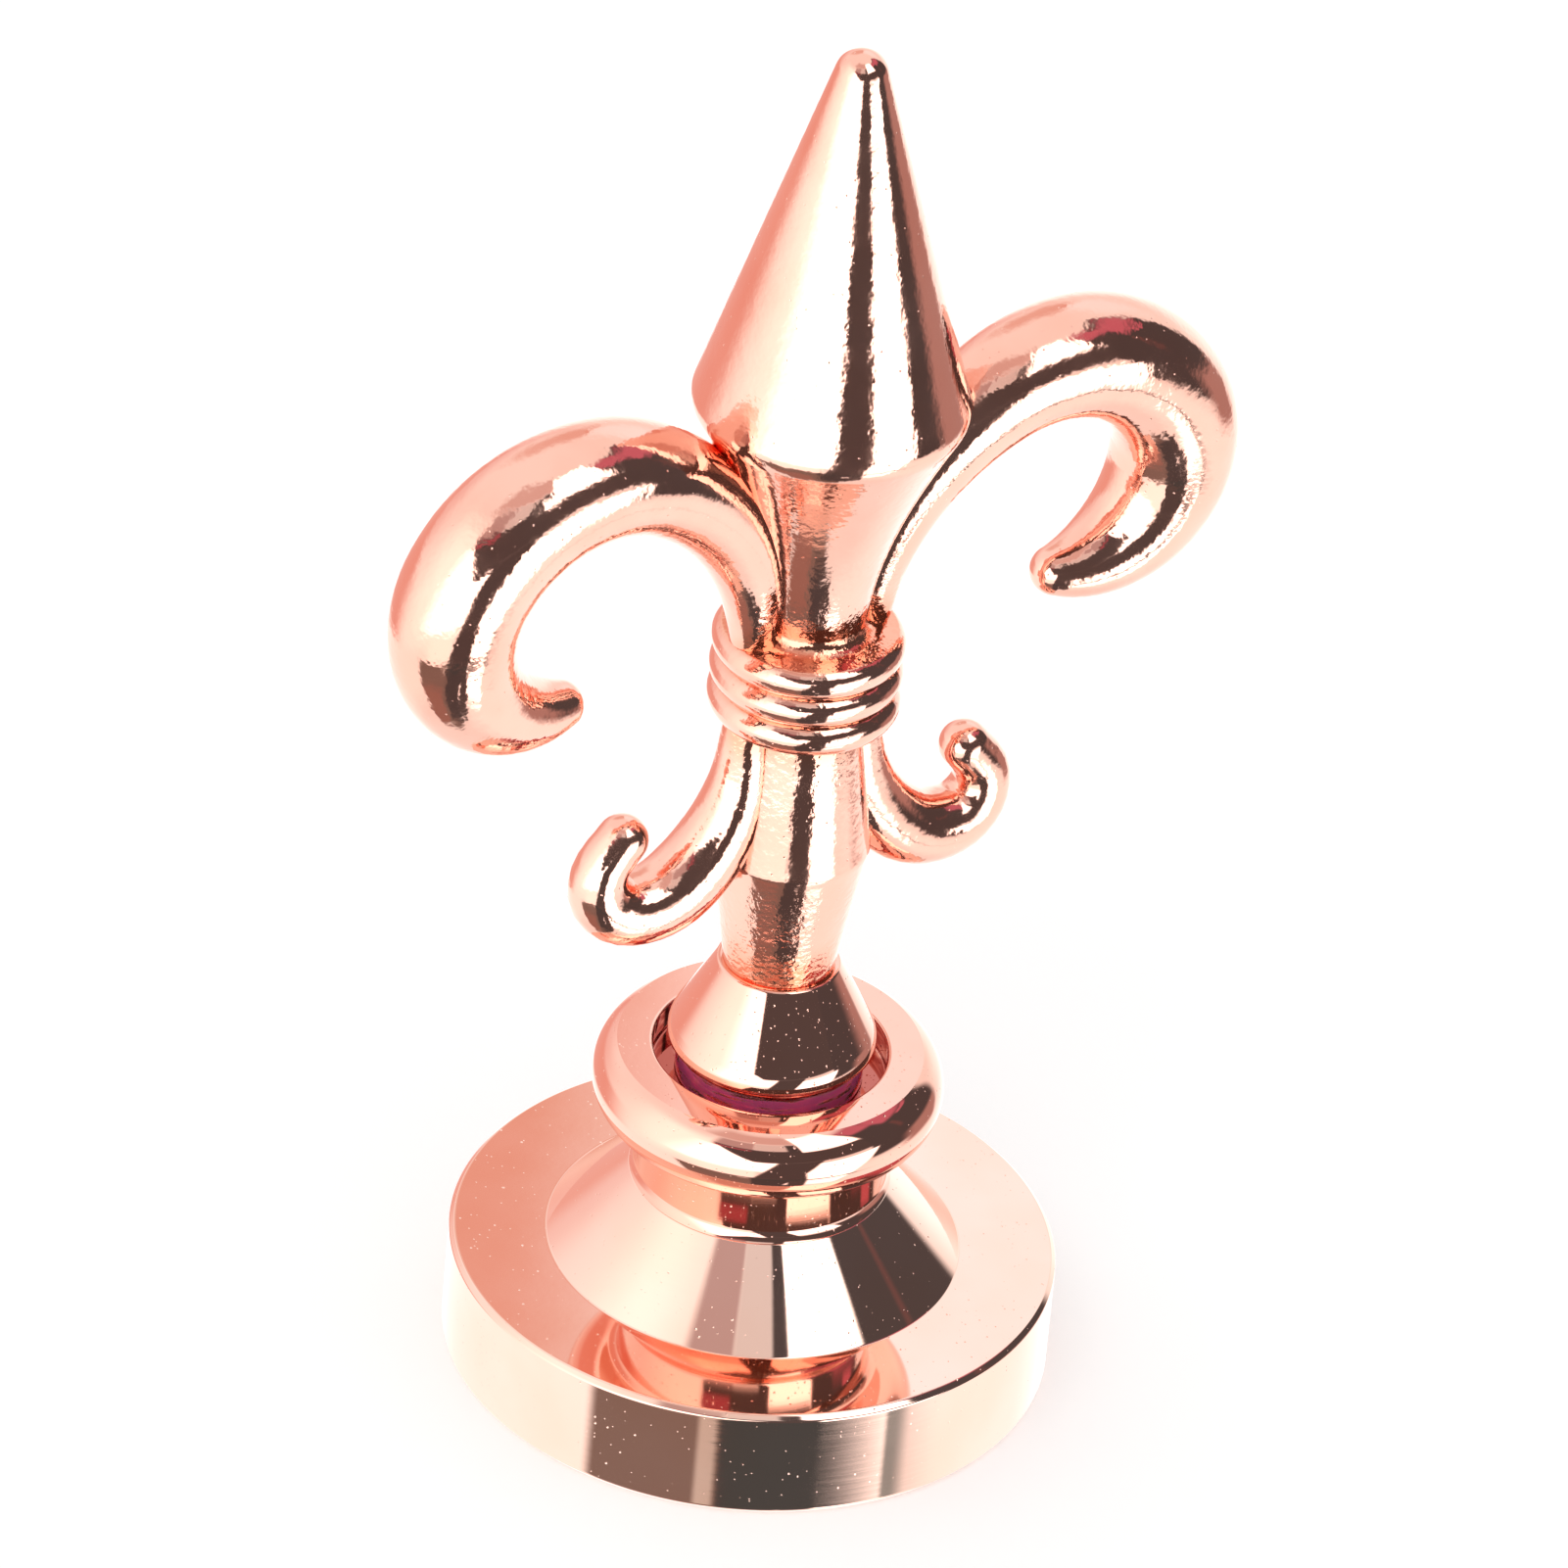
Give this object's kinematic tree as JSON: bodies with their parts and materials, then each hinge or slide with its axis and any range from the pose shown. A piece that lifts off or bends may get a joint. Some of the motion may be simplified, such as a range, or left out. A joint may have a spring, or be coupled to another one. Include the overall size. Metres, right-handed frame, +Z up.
{
  "type": "wax seal stamp",
  "caption": "Wax seal stamp with a fleur-de-lis handle, a turned collar and a round sealing head that unscrews from the handle.",
  "frame": {"origin": "centre of the sealing face, which is the lowest plane of the stamp", "axes": "+Z up along the stamp's axis to the spear's tip, X across the fleur through both side petals, Y front to back"},
  "size_m": [0.0388, 0.025, 0.0617],
  "materials": {
    "turned_brass": "polished, champagne rose plating",
    "turned_collar": "polished, rose-gold plating",
    "cast_metal": "cast, rose-gold plating with a faint orange-peel surface",
    "stud_steel": "bright zinc-plated thread"
  },
  "bodies": {
    "head": {"seal_head": "turned_brass"},
    "collar": {"collar": "turned_collar"},
    "handle": {"foot_cone": "turned_collar", "threaded_stud": "stud_steel", "stem": "cast_metal", "binding_band": "cast_metal", "centre_petal": "cast_metal", "petal_right": "cast_metal", "petal_left": "cast_metal", "curl_right": "cast_metal", "curl_left": "cast_metal"}
  },
  "joints": [
    {"name": "handle_unscrew", "type": "hinge", "parent": "head", "child": "collar", "pos_m": [0, 0, 0], "axis": [0, 0, 1], "range_deg": [0, 1800]},
    {"name": "handle_rise", "type": "slide", "parent": "collar", "child": "handle", "axis": [0, 0, 1], "range_m": [0, 0.005]}
  ],
  "couplings": [
    {"joint": "handle_rise", "follows": "handle_unscrew", "m_per_rad": 0.00015915}
  ]
}
